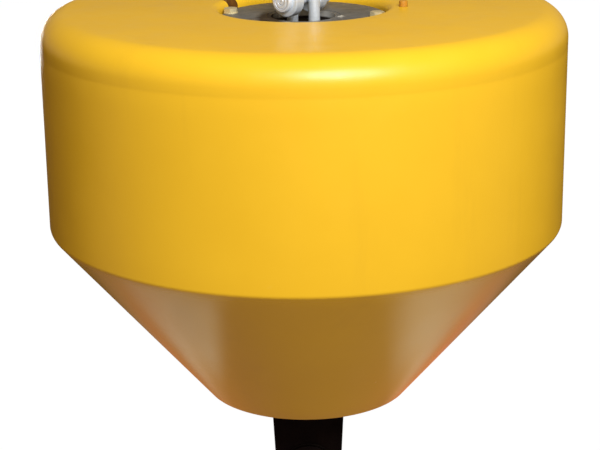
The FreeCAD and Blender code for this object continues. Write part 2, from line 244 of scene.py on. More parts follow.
def rounded_disc(radius, low, high, rounding, steps=5):
    """A lathe profile for a disc with rounded rims, from the axis out and back."""
    return (
        [(0, low)]
        + arc((radius - rounding, low + rounding), rounding, -90, 0, steps)
        + arc((radius - rounding, high - rounding), rounding, 0, 90, steps)
        + [(0, high)]
    )


def closed_path(points, spacing):
    """Evenly spaced points along a closed run of straight lines."""
    path = []
    for start, end in zip(points, points[1:] + points[:1]):
        steps = max(1, round((end - start).length / spacing))
        path += [start.lerp(end, step / steps) for step in range(steps)]
    return path


# ---- meshes -------------------------------------------------------------------------------------

ON_AXIS = 1e-7
MERGE_DISTANCE = 1e-6


def new_object(name, data):
    made = bpy.data.objects.new(name, data)
    bpy.context.scene.collection.objects.link(made)
    return made


def smooth(thing, sharp_degrees=35):
    """Shades a piece smooth, apart from the edges that turn more than the given angle."""
    mesh = thing.data
    mesh.polygons.foreach_set("use_smooth", [True] * len(mesh.polygons))
    mesh.set_sharp_from_angle(angle=math.radians(sharp_degrees))


def mesh_object(name, vertices, faces, sharp_degrees=35):
    """A smooth-shaded piece from its vertices and faces, with the faces turned outwards."""
    mesh = bpy.data.meshes.new(name)
    mesh.from_pydata([tuple(vertex) for vertex in vertices], [], faces)
    mesh.validate()
    working = bmesh.new()
    working.from_mesh(mesh)
    bmesh.ops.remove_doubles(working, verts=working.verts, dist=MERGE_DISTANCE)
    bmesh.ops.recalc_face_normals(working, faces=working.faces)
    working.to_mesh(mesh)
    working.free()
    made = new_object(name, mesh)
    smooth(made, sharp_degrees)
    return made


def box_mesh(name, centre, sides):
    """A plain block, for cutting."""
    working = bmesh.new()
    bmesh.ops.create_cube(working, size=1)
    bmesh.ops.scale(working, vec=Vector(sides), verts=working.verts)
    bmesh.ops.translate(working, vec=Vector(centre), verts=working.verts)
    mesh = bpy.data.meshes.new(name)
    working.to_mesh(mesh)
    working.free()
    return new_object(name, mesh)


def spokes(count):
    """Evenly spaced directions round a circle, each as its cosine and sine."""
    angles = [2 * math.pi * step / count for step in range(count)]
    return [(math.cos(angle), math.sin(angle)) for angle in angles]


def band(low, high):
    """The faces between two rings of vertices: triangles where one ring is a point, none where both are."""
    faces = []
    for step in range(len(low)):
        after = (step + 1) % len(low)
        face = list(dict.fromkeys([low[step], low[after], high[after], high[step]]))
        if len(face) > 2:
            faces.append(face)
    return faces


def lathe(name, profile, segments=96, sharp_degrees=35):
    """A closed profile of (radius, height) pairs turned about Z. Points on the axis become one vertex."""
    vertices, rings = [], []
    for radius, height in profile:
        if radius < ON_AXIS:
            rings.append([len(vertices)] * segments)
            vertices.append((0, 0, height))
        else:
            rings.append(range(len(vertices), len(vertices) + segments))
            vertices += [(radius * cosine, radius * sine, height) for cosine, sine in spokes(segments)]
    faces = [face for low, high in zip(rings, rings[1:] + rings[:1]) for face in band(low, high)]
    return mesh_object(name, vertices, faces, sharp_degrees)


def sweep(name, path, radii, sides=40):
    """A bar swept along a flat path in the XZ plane, with a radius for each point of the path."""
    vertices, rings = [], []
    for index, ((across, up), radius) in enumerate(zip(path, radii)):
        before, after = Vector(path[max(index - 1, 0)]), Vector(path[min(index + 1, len(path) - 1)])
        along = (after - before).normalized()
        side, level = Vector((along.y, 0, -along.x)), Vector((0, 1, 0))
        rings.append(range(len(vertices), len(vertices) + sides))
        for cosine, sine in spokes(sides):
            vertices.append(Vector((across, 0, up)) + (side * cosine * radius + level * sine * radius))
    faces = [face for low, high in zip(rings, rings[1:]) for face in band(low, high)]
    faces += [list(rings[0]), list(rings[-1])]
    return mesh_object(name, vertices, faces)


def move(thing, matrix):
    thing.data.transform(matrix)


def about_z(degrees):
    return Matrix.Rotation(math.radians(degrees), 4, "Z")


def out_from_axis(azimuth, distance):
    """Takes a piece that was made on the axis out to its place beside it."""
    return about_z(azimuth) @ Matrix.Translation((distance, 0, 0))


def join(name, things):
    """Makes one object of several meshes."""
    bpy.ops.object.select_all(action="DESELECT")
    for thing in things:
        thing.select_set(True)
    bpy.context.view_layer.objects.active = things[0]
    bpy.ops.object.join()
    things[0].name = name
    things[0].data.name = name
    return things[0]


def modify(thing, kind, **settings):
    """Gives a piece one modifier and applies it."""
    modifier = thing.modifiers.new(kind.lower(), kind)
    for name, value in settings.items():
        setattr(modifier, name, value)
    graph = bpy.context.evaluated_depsgraph_get()
    mesh = bpy.data.meshes.new_from_object(thing.evaluated_get(graph))
    thing.modifiers.clear()
    thing.data = mesh


def cut(thing, cutter):
    """Takes a cutter out of a piece and deletes the cutter. The faces that it cuts take its paint."""
    modify(
        thing, "BOOLEAN", operation="DIFFERENCE", solver="EXACT", material_mode="TRANSFER", object=cutter,
    )
    bpy.data.objects.remove(cutter)


def hexagon_prism(name, flats, low, high, chamfer):
    """A bolt head or nut: a disc with rounded rims, cut to six flats."""
    corner_radius = flats / math.sqrt(3)
    blank = lathe(name, rounded_disc(corner_radius, low, high, chamfer, steps=3))
    width = corner_radius * 1.4
    middle = (flats / 2 + width / 2, 0, (low + high) / 2)
    for side in range(6):
        block = box_mesh("flat_cutter", middle, (width, width * 2, (high - low) * 2))
        move(block, about_z(60 * side + 30))
        cut(blank, block)
    smooth(blank, 28)
    return blank


def weld_bead(name, path, thickness, up):
    """A rippled bead along a closed path; up is the direction it stands out from the joint."""
    vertices, rings = [], []
    sides = BEAD["sides"]
    for index, point in enumerate(path):
        along = (path[(index + 1) % len(path)] - path[index - 1]).normalized()
        side = along.cross(up).normalized()
        ripple = 1 + BEAD["ripple"] * (index % 3) / 2 + BEAD["chance"] * random.uniform(-1, 1)
        rings.append(range(len(vertices), len(vertices) + sides))
        for cosine, sine in spokes(sides):
            vertices.append(point + (side * cosine + up * sine * BEAD["height"]) * thickness * ripple)
    faces = [face for low, high in zip(rings, rings[1:] + rings[:1]) for face in band(low, high)]
    return mesh_object(name, vertices, faces, 60)


def paint(thing, material):
    thing.data.materials.clear()
    thing.data.materials.append(material)


def finish_piece(thing, body, material=None, replaces=()):
    """Ties a piece to its body and finish. A piece that was painted before a cut keeps its paint."""
    if material is not None:
        paint(thing, material)
    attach(thing, body)
    if replaces:
        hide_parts(*replaces)
    return thing


# ---- node trees ---------------------------------------------------------------------------------

class Nodes:
    """A node tree, with short ways to add the nodes that the finishes, the floor and the world use."""

    def __init__(self, tree, coordinates="Object"):
        self.tree = tree
        self.place = self.add("ShaderNodeTexCoord").outputs[coordinates]

    def add(self, kind, **settings):
        node = self.tree.nodes.new(kind)
        for name, value in settings.items():
            setattr(node, name, value)
        return node

    def feed(self, socket, value):
        """Links a node's output to a socket, or sets the socket to a number, a vector or a colour."""
        if isinstance(value, bpy.types.NodeSocket):
            self.tree.links.new(value, socket)
        elif socket.type == "RGBA":
            socket.default_value = (*value, 1)
        else:
            socket.default_value = value

    def feed_all(self, node, **values):
        """Feeds inputs by name, with _ for each space in a name."""
        for name, value in values.items():
            self.feed(node.inputs[name.replace("_", " ")], value)

    def moved(self, scale=(1, 1, 1), shift=(0, 0, 0), turn=(0, 0, 0)):
        """The place scaled, turned and shifted."""
        node = self.add("ShaderNodeMapping")
        self.feed_all(node, Vector=self.place, Scale=scale, Location=shift, Rotation=turn)
        return node.outputs["Vector"]

    def axes(self):
        """The place's X, Y and Z."""
        node = self.add("ShaderNodeSeparateXYZ")
        self.feed_all(node, Vector=self.place)
        return node.outputs["X"], node.outputs["Y"], node.outputs["Z"]

    def distance(self, centre, stretch=(1, 1, 0)):
        """Distance from a centre, each axis scaled. The height doesn't count unless it is stretched."""
        shift = tuple(-at * scale for at, scale in zip(centre, stretch))
        node = self.add("ShaderNodeVectorMath", operation="LENGTH")
        self.feed(node.inputs[0], self.moved(scale=stretch, shift=shift))
        return node.outputs["Value"]

    def noise(self, scale, detail, roughness, vector=None, distortion=0):
        """Soft noise at a scale, with finer octaves as many as its detail and as strong as its roughness."""
        node = self.add("ShaderNodeTexNoise")
        self.feed_all(node, Vector=vector or self.place, Scale=scale, Distortion=distortion)
        self.feed_all(node, Detail=detail, Roughness=roughness)
        return node.outputs["Fac"]

    def spangle(self, scale):
        """One number for each crystal of a zinc coat, from nought to one."""
        cells = self.add("ShaderNodeTexVoronoi")
        self.feed_all(cells, Vector=self.place, Scale=scale)
        split = self.add("ShaderNodeSeparateColor")
        self.feed_all(split, Color=cells.outputs["Color"])
        return split.outputs["Red"]

    def ramp(self, value, stops):
        """Maps a value to colours, or to greys where each stop is (position, number)."""
        node = self.add("ShaderNodeValToRGB")
        line = node.color_ramp
        while len(line.elements) < len(stops):
            line.elements.new(0.5)
        for element, (position, colour) in zip(line.elements, stops):
            element.position = position
            element.color = (*colour, 1) if isinstance(colour, tuple) else (colour, colour, colour, 1)
        self.feed_all(node, Fac=value)
        return node.outputs["Color"]

    def fade(self, value, full, none):
        """One where the value is at or past full, nought where it is at or past none."""
        node = self.add("ShaderNodeMapRange")
        self.feed_all(node, Value=value, From_Min=full, From_Max=none, To_Min=1.0, To_Max=0.0)
        return node.outputs["Result"]

    def math(self, operation, *values):
        node = self.add("ShaderNodeMath", operation=operation)
        for socket, value in zip(node.inputs, values):
            self.feed(socket, value)
        return node.outputs["Value"]

    def mix(self, amount, first, second, blend="MIX"):
        """The first colour where the amount is nought, the second where it is one."""
        node = self.add("ShaderNodeMix", data_type="RGBA", blend_type=blend)
        for socket, value in zip((node.inputs[0], node.inputs[6], node.inputs[7]), (amount, first, second)):
            self.feed(socket, value)
        return node.outputs[2]

    def times(self, colour, factor):
        """A colour times another, or times a number."""
        return self.mix(1.0, colour, (factor,) * 3 if isinstance(factor, float) else factor, "MULTIPLY")

    def is_ray(self, kind):
        """One for rays of one kind, such as Camera, and nought for the others."""
        return self.add("ShaderNodeLightPath").outputs[f"Is {kind} Ray"]


class Finish(Nodes):
    """A material with one Principled shader."""

    def __init__(self, name):
        self.material = bpy.data.materials.new(name)
        self.material.use_nodes = True
        super().__init__(self.material.node_tree)
        self.shader = self.tree.nodes["Principled BSDF"]

    def bump(self, value, distance, strength, under=None):
        """A normal raised by a value, on top of another bump if one is given."""
        node = self.add("ShaderNodeBump")
        self.feed_all(node, Height=value, Distance=distance, Strength=strength)
        if under is not None:
            self.feed_all(node, Normal=under)
        return node.outputs["Normal"]

    def done(self, **values):
        """Feeds the shader's inputs and gives the finished material."""
        self.feed_all(self.shader, **values)
        return self.material


# ---- materials ----------------------------------------------------------------------------------

def yellow_plastic():
    """Rotomoulded polyethylene: soft sheen, fine orange peel, a little grime and rubbing."""
    n = Finish("yellow_plastic")
    colour = n.ramp(n.noise(3.0, 5, 0.55), [(0.30, (0.87, 0.515, 0.018)), (0.70, (0.92, 0.555, 0.022))])
    streaks = n.noise(9.0, 6, 0.65, n.moved(scale=(1, 1, 0.14)))
    grime = n.ramp(streaks, [(0.56, 0.0), (0.80, 0.22)])
    colour = n.mix(grime, colour, (0.66, 0.36, 0.02))
    scuffs = n.noise(38.0, 8, 0.72, n.moved(scale=(1, 1, 2.2)), 0.6)
    rubbed = n.ramp(scuffs, [(0.66, 0.0), (0.74, 0.30)])
    colour = n.mix(rubbed, colour, (0.92, 0.60, 0.12))
    patches = n.noise(14.0, 6, 0.6)
    side_roughness = n.ramp(patches, [(0.30, 0.29), (0.75, 0.42)])
    cone_roughness = n.ramp(patches, [(0.30, 0.19), (0.75, 0.28)])
    below_knuckle = n.fade(n.axes()[2], KNUCKLE - 0.015, KNUCKLE - 0.002)
    roughness = n.mix(below_knuckle, side_roughness, cone_roughness)
    wave = n.bump(n.noise(5.0, 2, 0.4), 0.0035, 0.35)
    peel = n.bump(n.noise(420.0, 2, 0.5), 0.00035, 0.30, wave)
    return n.done(Base_Color=colour, Roughness=roughness, Normal=peel, Specular_IOR_Level=0.42)


def painted_shade_plastic():
    """The float's plastic in its holes, painted dark brown as the shade inside the notch and round the plug.
    """
    n = Finish("painted_shade_plastic")
    colour = n.ramp(n.noise(60.0, 6, 0.6), [(0.30, (0.10, 0.035, 0.006)), (0.75, (0.26, 0.11, 0.012))])
    normal = n.bump(n.noise(200.0, 4, 0.5), 0.0004, 0.4)
    return n.done(Base_Color=colour, Roughness=0.6, Normal=normal)


def black_paint():
    """Black coating on steel, with rust bleeding through at worn spots."""
    n = Finish("black_paint")
    colour = n.ramp(n.noise(22.0, 6, 0.6), [(0.35, (0.004, 0.002, 0.002)), (0.75, (0.010, 0.006, 0.005))])
    rust = n.ramp(n.noise(46.0, 9, 0.7, distortion=0.4), [(0.66, 0.0), (0.76, 0.35)])
    colour = n.mix(rust, colour, (0.075, 0.036, 0.018))
    roughness = n.ramp(n.noise(60.0, 6, 0.6), [(0.30, 0.42), (0.70, 0.68)])
    normal = n.bump(n.noise(160.0, 6, 0.6), 0.0008, 0.45)
    return n.done(Base_Color=colour, Roughness=roughness, Normal=normal, Specular_IOR_Level=0.06)


def galvanised(name, dark, bright, smoothest, roughest):
    """Hot-dip zinc: pale spangle, fine scratches and a slightly lumpy coat."""
    n = Finish(name)
    grain = 60.0
    crystals = n.math("MULTIPLY_ADD", n.spangle(grain * 3), 0.5, 0.5)
    cloud = n.noise(grain, 6, 0.6)
    tone = n.math("ADD", n.math("MULTIPLY", crystals, 0.40), n.math("MULTIPLY", cloud, 0.6))
    colour = n.ramp(tone, [(0.30, dark), (0.72, bright)])
    scratches = n.noise(240.0, 4, 0.6, n.moved(scale=(1, 1, 0.12), turn=(0.5, 0.3, 0.4)))
    colour = n.mix(n.ramp(scratches, [(0.60, 0.0), (0.76, 0.3)]), colour, bright)
    roughness = n.ramp(n.noise(grain * 1.5, 6, 0.65), [(0.30, smoothest), (0.75, roughest)])
    lumps = n.bump(n.noise(grain * 1.2, 3, 0.5), 0.0012, 0.15)
    fine = n.bump(n.noise(grain * 12, 4, 0.6), 0.0002, 0.08, lumps)
    return n.done(Base_Color=colour, Roughness=roughness, Normal=fine, Metallic=0.4)


def turned_steel():
    """The pin's head: zinc over a face turned in a lathe, with rings round the pin's axis painted in dark and
    light bands as shade and highlight.
    """
    n = Finish("turned_steel")
    centred = n.add("ShaderNodeMapping", vector_type="TEXTURE")
    turn = PIN_AXIS.to_track_quat("X", "Z").to_euler()
    n.feed_all(centred, Vector=n.place, Location=PIN_CENTRE, Rotation=turn)
    wave = n.add("ShaderNodeTexWave", wave_type="RINGS", rings_direction="X")
    n.feed_all(wave, Vector=centred.outputs["Vector"], Scale=41.0, Distortion=1.4, Detail=3.0)
    rings = wave.outputs["Fac"]
    colour = n.ramp(n.noise(90.0, 5, 0.6), [(0.30, (0.82, 0.87, 0.94)), (0.70, (0.95, 0.98, 1.0))])
    # Painted shade and highlight: the rings darken the zinc in bands between bright ones.
    colour = n.mix(n.ramp(rings, [(0.2, 0.6), (0.6, 0.0)]), colour, (0.42, 0.45, 0.52))
    roughness = n.ramp(n.noise(50.0, 5, 0.6), [(0.30, 0.28), (0.75, 0.44)])
    return n.done(Base_Color=colour, Roughness=roughness, Normal=n.bump(rings, 0.0006, 0.40), Metallic=0.3)


def plate_steel():
    """Weathered zinc on the well's plate and core tube: a dark patch, a painted glint, painted light in the
    bore, painted shade and dirt low down.
    """
    n = Finish("plate_steel")
    colour = n.ramp(n.noise(26.0, 8, 0.62), [(0.30, (0.105, 0.108, 0.11)), (0.72, (0.20, 0.205, 0.21))])
    scratches = n.noise(150.0, 5, 0.7, n.moved(scale=(1, 0.10, 1), turn=(0, 0, 0.6)))
    colour = n.mix(n.ramp(scratches, [(0.60, 0.0), (0.72, 0.35)]), colour, (0.34, 0.33, 0.31))
    silt = n.ramp(n.noise(11.0, 7, 0.6), [(0.55, 0.0), (0.72, 0.35)])
    colour = n.mix(silt, colour, (0.22, 0.15, 0.08))
    # Painted light: the core tube's inner wall is painted pale grey, as if lit.
    tube_inside = CORE_BORE - CORE_WALL
    bore = n.fade(n.distance((0, 0, 0)), tube_inside, tube_inside + 0.0002)
    colour = n.mix(bore, colour, (0.58, 0.58, 0.56))
    ragged = n.math("MULTIPLY", n.noise(70.0, 6, 0.6), 0.02)
    # Two marks painted on the plate: the dark patch, and the pale spot of painted glint and wear.
    for mark in (PLATE_DARK_PATCH, PLATE_GLINT_AND_WEAR):
        from_centre = n.math("ADD", n.distance(mark["place"], mark["stretch"]), ragged)
        colour = n.mix(n.fade(from_centre, *mark["edge"]), colour, mark["colour"])
    # Painted shade with dirt: near-black low in the core tube, at the foot of the bore.
    low_shade_and_dirt = n.fade(n.axes()[2], WELL_FLOOR + 0.0015, WELL_FLOOR + 0.005)
    colour = n.mix(low_shade_and_dirt, colour, (0.020, 0.012, 0.008))
    roughness = n.ramp(n.noise(40.0, 6, 0.6), [(0.30, 0.40), (0.75, 0.66)])
    normal = n.bump(n.noise(90.0, 6, 0.6), 0.0006, 0.4)
    return n.done(Base_Color=colour, Roughness=roughness, Normal=normal, Metallic=0.35)


def plug_plastic():
    """The filler plug: orange plastic, matte, its orange darkened as painted shade."""
    n = Finish("plug_plastic")
    # Painted shade: the plug's orange is darkened to stand in for the shade round it.
    colour = n.ramp(n.noise(90.0, 6, 0.6), [(0.30, (0.46, 0.19, 0.015)), (0.72, (0.62, 0.29, 0.02))])
    roughness = n.ramp(n.noise(160.0, 4, 0.6), [(0.30, 0.45), (0.75, 0.62)])
    normal = n.bump(n.noise(300.0, 4, 0.5), 0.0004, 0.5)
    return n.done(Base_Color=colour, Roughness=roughness, Normal=normal)


# ---- the float ----------------------------------------------------------------------------------

def float_profile():
    """The shell's outline: over the well's floor, up its wall, round the shoulder, down the side and cone."""
    lip, shoulder, knuckle, foot = (WELL_RADIUS, TOP), (RADIUS, TOP), (RADIUS, KNUCKLE), (CONE_FOOT, FOOT)
    well_edge = WELL_RADIUS - WELL_CORNER
    seam = TOP - SEAM["drop"]
    below_seam = (RADIUS, seam - SEAM["half_width"])
    profile = [(CORE_BORE, WELL_FLOOR), (well_edge, WELL_FLOOR)]
    profile += arc((well_edge, WELL_FLOOR + WELL_CORNER), WELL_CORNER, -90, 0, steps=4)[1:]
    profile += corner((WELL_RADIUS, WELL_FLOOR), lip, shoulder, LIP_ROUND, steps=10)
    profile += between((WELL_RADIUS + LIP_ROUND, TOP), (RADIUS - SHOULDER_ROUND, TOP), steps=12)
    profile += corner(lip, shoulder, knuckle, SHOULDER_ROUND, steps=16)
    profile += [(RADIUS, seam + SEAM["half_width"]), (RADIUS - SEAM["depth"], seam), below_seam]
    profile += between(below_seam, (RADIUS, KNUCKLE + KNUCKLE_RUN), steps=10)
    profile += corner(shoulder, knuckle, foot, KNUCKLE_ROUND, steps=6)
    profile += between(knuckle, foot, steps=12)
    profile += corner(knuckle, foot, (FLANGE_RECESS, FOOT), FOOT_ROUND, steps=6)
    profile += [(FLANGE_RECESS, FOOT), (FLANGE_RECESS, FLANGE_TOP), (CORE_BORE, FLANGE_TOP)]
    return profile


def notch_cutter():
    """A block with rounded edges that opens the well's wall, from the top down to just above its floor."""
    start, end = WELL_RADIUS - NOTCH_CUT["overlap"], WELL_RADIUS + NOTCH["reach"]
    height = 2 * (TOP - WELL_FLOOR - NOTCH_CUT["above_floor"])
    block = box_mesh("notch_cutter", ((start + end) / 2, 0, TOP), (end - start, NOTCH["width"], height))
    modify(block, "BEVEL", width=NOTCH_CUT["round"], segments=4)
    move(block, about_z(NOTCH["azimuth"]))
    return block


def plug_hole_cutter():
    """A round bar a little wider than the plug, from the plug's foot to above the float."""
    radius = PLUG["radius"] + PLUG_GAP
    cutter = lathe("plug_cutter", rounded_disc(radius, PLUG_LOW.z, TOP + CUT_OVERRUN, CUTTER_ROUND), 64)
    move(cutter, out_from_axis(PLUG["azimuth"], PLUG_OFFSET))
    return cutter


def make_float(material, hole_shade_material):
    """The whole shell in one turned mesh, then the notch and the plug's hole are cut into it."""
    shell = lathe("float_shell", float_profile(), 288)
    paint(shell, material)
    # The cut faces of the notch and the plug's hole take the dark brown of painted shade.
    for cutter in (notch_cutter(), plug_hole_cutter()):
        paint(cutter, hole_shade_material)
        cut(shell, cutter)
    smooth(shell, 40)
    return finish_piece(shell, "buoy", None, ["float_body"])


def make_plug(material):
    """The filler plug's cap, with a slot for a coin or a screwdriver."""
    profile = rounded_disc(PLUG["radius"], PLUG_LOW.z + PLUG_CAP["lift"], PLUG_HIGH.z, PLUG_CAP["round"])
    plug = lathe("plug_cap", profile, 64)
    cut(plug, box_mesh("slot_cutter", (0, 0, PLUG_HIGH.z), PLUG_SLOT))
    smooth(plug)
    move(plug, out_from_axis(PLUG["azimuth"], PLUG_OFFSET))
    return finish_piece(plug, "buoy", material, ["fill_plug"])


# ---- fixed steelwork ----------------------------------------------------------------------------

def make_bolts(material):
    """Hexagon-headed bolts with washers round the plate, each turned by chance."""
    things = []
    head_low = PLATE_TOP + BOLT["lift"]
    washer_low, washer_high = PLATE_TOP + WASHER["low"], PLATE_TOP + WASHER["high"]
    washer_profile = rounded_disc(WASHER["radius"], washer_low, washer_high, WASHER["round"])
    for index in range(BOLT["count"]):
        head = hexagon_prism(
            f"bolt_{index}", BOLT["flats"], head_low, head_low + BOLT["height"], BOLT["chamfer"]
        )
        washer = lathe(f"washer_{index}", washer_profile, 64)
        azimuth = BOLT["azimuth"] + 360 / BOLT["count"] * index
        place = out_from_axis(azimuth, BOLT["circle"]) @ about_z(random.uniform(0, 60))
        for thing in (head, washer):
            move(thing, place)
            things.append(thing)
    return finish_piece(join("plate_bolts", things), "buoy", material)


def make_plate(material):
    """The well's plate, a flat ring with its upper edges chamfered."""
    below_chamfer = PLATE_TOP - PLATE_CHAMFER
    profile = [
        (CORE_BORE, WELL_FLOOR), (PLATE_RADIUS, WELL_FLOOR), (PLATE_RADIUS, below_chamfer),
        (PLATE_RADIUS - PLATE_CHAMFER, PLATE_TOP), (CORE_BORE + PLATE_CHAMFER, PLATE_TOP),
        (CORE_BORE, below_chamfer),
    ]
    plate = lathe("plate_ring", profile, 192, sharp_degrees=30)
    return finish_piece(plate, "buoy", material, ["top_plate"])


def eye_outline():
    """The eye plate's outline: straight sides that run onto the round end."""
    half, drop, end = EYE["top_width"] / 2, EYE["drop"], EYE["end"]
    lean = math.degrees(math.acos(end / math.hypot(half, drop)) - math.atan2(drop, half))
    return [(-half, 0), (half, 0)] + arc((0, -drop), end, -lean, -180 + lean, steps=48)


def bored_slab(name, outline, low, high, centre):
    """An outline in the XZ plane extruded along Y and bored for the eye's hole, with its edges eased."""
    count = len(outline)
    vertices = [(across, level, up) for level in (low, high) for across, up in outline]
    faces = [list(range(count)), list(range(count * 2 - 1, count - 1, -1))]
    faces += band(range(count), range(count, count * 2))
    made = mesh_object(name, vertices, faces)
    profile = rounded_disc(EYE["hole"], low - CUT_OVERRUN, high + CUT_OVERRUN, CUTTER_ROUND)
    bore = lathe("bore_cutter", profile)
    across, up = centre
    move(bore, Matrix.Translation((across, 0, up)) @ Matrix.Rotation(math.radians(-90), 4, "X"))
    cut(made, bore)
    modify(
        made, "BEVEL", width=EYE_EASING, segments=3, limit_method="ANGLE", angle_limit=math.radians(50)
    )
    smooth(made)
    return made


def make_eye(material):
    """The eye plate with its two cheek rings."""
    centre = (0, FOOT - EYE["drop"])
    outline = [(across, FOOT + up) for across, up in eye_outline()]
    ring = arc(centre, EYE["cheek"], 0, 360, steps=96)[:-1]
    things = [bored_slab("eye_slab", outline, EYE_LOW.y, EYE_HIGH.y, centre)]
    cheeks = {"cheek_front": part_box("eye_cheek_front"), "cheek_back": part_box("eye_cheek_back")}
    for name, (low, high) in cheeks.items():
        things.append(bored_slab(name, ring, low.y, high.y, centre))
    made = join("eye_plate", things)
    smooth(made)
    nodes = ["bottom_eye", "eye_cheek_front", "eye_cheek_back"]
    return finish_piece(made, "buoy", material, nodes)


def make_eye_welds(material):
    """Beads round both cheeks and where the plate meets the flange."""
    things = []
    front, back, half = EYE_LOW.y, EYE_HIGH.y, EYE["top_width"] / 2
    centre, reach = (0, FOOT - EYE["drop"]), EYE["cheek"] + CHEEK_WELD["offset"]
    round_cheek = arc(centre, reach, 0, 360, CHEEK_WELD["points"])
    for name, level, out in (("front", front, -1), ("back", back, 1)):
        ring = [Vector((across, level, up)) for across, up in round_cheek[:-1]]
        things.append(weld_bead(f"cheek_weld_{name}", ring, CHEEK_WELD["thickness"], Vector((0, out, 0))))
    corners = ((-half, front), (half, front), (half, back), (-half, back))
    path = closed_path([Vector((*place, FOOT)) for place in corners], FLANGE_WELD["spacing"])
    things.append(weld_bead("flange_weld", path, FLANGE_WELD["thickness"], Vector((0, 0, -1))))
    return finish_piece(join("eye_welds", things), "buoy", material)


def make_link(material):
    """The bent bar of the mooring link, with a slightly uneven zinc coat."""
    half, bar = LINK["half_span"], LINK["bar"]
    spring = LINK_HIGH.z - bar - half
    rise = [(-half, LINK_LOW.z)] + between((-half, LINK_LOW.z), (-half, spring), steps=24)
    crown = arc((0, spring), half, 180, 0, steps=40)
    fall = [(half, height) for _, height in reversed(rise)]
    lumps = [random.uniform(-1, 1) * ZINC_COAT["lumps"] for _ in range(ZINC_COAT["draws"])]
    made = sweep("link_bar", rise + crown + fall, [bar - ZINC_COAT["inset"] + lump for lump in lumps])
    move(made, about_z(LINK["yaw"]))
    return finish_piece(made, "buoy", material, ["mooring_link"])


# ---- the shackle: made with its pin along X, then turned onto the pin's real axis ------------------

def onto_pin():
    """The turn and shift that take a piece made along X onto the pin's axis, slid along to its place."""
    middle = PIN_CENTRE + PIN_AXIS * SHACKLE_SLIDE
    return Matrix.Translation(middle) @ PIN_AXIS.to_track_quat("X", "Z").to_matrix().to_4x4()


def lay_along_x(thing):
    """Turns a lathed piece so that its axis lies along X."""
    move(thing, Matrix.Rotation(math.radians(90), 4, "Y"))


def bow_path():
    """The bow's centre line: straight out of each ear, through a neck bend and over the crown."""
    ear = SHACKLE["jaw"] / 2 + SHACKLE["bar"]
    neck = SHACKLE["neck"]
    bow = SHACKLE["bow_inside"] / 2 + SHACKLE["bar"]
    height = SHACKLE["length"] + SHACKLE["bar"] - bow
    rise = math.sqrt((bow + neck) ** 2 - (ear + neck) ** 2)
    swing = math.degrees(math.atan2(rise, ear + neck))
    low = height - rise
    right = [(ear, 0)] + between((ear, 0), (ear, low), steps=8)
    right += arc((ear + neck, low), neck, 180, 180 - swing, steps=10)
    over = arc((0, height), bow, -swing, 180 + swing, steps=56)[1:-1]
    left = [(-across, up) for across, up in reversed(right)]
    return right + over + left


def make_ear(side):
    """One of the shackle's two ears; side is 1 or -1 along the pin."""
    inner, outer = SHACKLE["jaw"] / 2, EARS_OUTSIDE
    ear = lathe(f"ear_{side}", rounded_disc(SHACKLE["ear"], inner, outer, EAR_ROUND))
    lay_along_x(ear)
    if side < 0:
        move(ear, about_z(180))
    return ear


def make_shackle_bow(material):
    """Bow and ears forged in one: joined, remeshed and relaxed so that the bar flows into the ears."""
    path = bow_path()
    bow = sweep("bow_bar", path, [SHACKLE["bar"]] * len(path))
    made = join("shackle_forging", [bow, make_ear(1), make_ear(-1)])
    modify(made, "REMESH", mode="VOXEL", voxel_size=FORGING["voxel"])
    modify(made, "SMOOTH", factor=FORGING["relax"], iterations=FORGING["passes"])
    smooth(made, 60)
    move(made, onto_pin())
    return finish_piece(made, "shackle", material, ["shackle_bow"])


def pin_head_profile():
    """The head seen from the side, with its rim rounded and two grooves turned in its face."""
    low = EARS_OUTSIDE + FIXED_GAP
    face = low + PIN["head_height"]
    back, front = PIN_HEAD["back_round"], PIN_HEAD["front_round"]
    profile = [(0, low), (PIN["head"] - back, low)]
    profile += arc((PIN["head"] - back, low + back), back, -90, 0, steps=3)[1:]
    profile += arc((PIN["head"] - front, face - front), front, 0, 90, steps=6)
    for radius in PIN_GROOVES["radii"]:
        profile += arc((radius, face), PIN_GROOVES["depth"], 0, -180, steps=8)
    return profile + [(0, face)]


def make_pin(material):
    """The shackle's pin: its shank and its turned head."""
    tail, neck = -EARS_OUTSIDE - PIN["tail"], EARS_OUTSIDE + PIN_HEAD["shank_overlap"]
    shank = lathe("pin_shank", rounded_disc(PIN["radius"], tail, neck, PIN_HEAD["shank_round"]))
    made = join("pin_turned", [shank, lathe("pin_head", pin_head_profile(), 128)])
    lay_along_x(made)
    move(made, onto_pin())
    smooth(made)
    return finish_piece(made, "shackle", material, ["shackle_pin"])


def make_nut(material):
    """The nut on the pin's tail, bored to go over the pin."""
    seat = -EARS_OUTSIDE - FIXED_GAP
    nut = hexagon_prism("pin_nut", NUT["flats"], seat - NUT["height"], seat, NUT_CUT["chamfer"])
    radius, reach = PIN["radius"] + FIXED_GAP, NUT_CUT["bore_reach"]
    cut(nut, lathe("nut_cutter", rounded_disc(radius, seat - reach, seat + reach, CUTTER_ROUND)))
    smooth(nut, 28)
    lay_along_x(nut)
    move(nut, onto_pin())
    return finish_piece(nut, "shackle", material, ["shackle_nut"])


def make_split_pin(material):
    """A wire bent double through the pin's tail that keeps the nut on."""
    leg, reach = SPLIT_PIN["leg"], PIN["radius"] + SPLIT_PIN["overhang"]
    lean = SPLIT_PIN["eye_lean"]
    path = [(-leg, -reach)] + between((-leg, -reach), (-leg, reach), steps=12)
    path += arc((0, reach), SPLIT_PIN["eye"], 180 + lean, -lean, steps=20)
    path += between((leg, reach), (leg, -reach), steps=12)
    path += [(SPLIT_PIN["spread"], -reach), (SPLIT_PIN["bent_out"], -reach - SPLIT_PIN["bent_down"])]
    made = sweep("split_pin", path, [SPLIT_PIN["wire"]] * len(path), sides=16)
    move(made, about_z(90))
    move(made, Matrix.Translation((-EARS_OUTSIDE - SPLIT_PIN["from_ear"], 0, 0)))
    move(made, onto_pin())
    return finish_piece(made, "shackle", material)


# ---- stage --------------------------------------------------------------------------------------

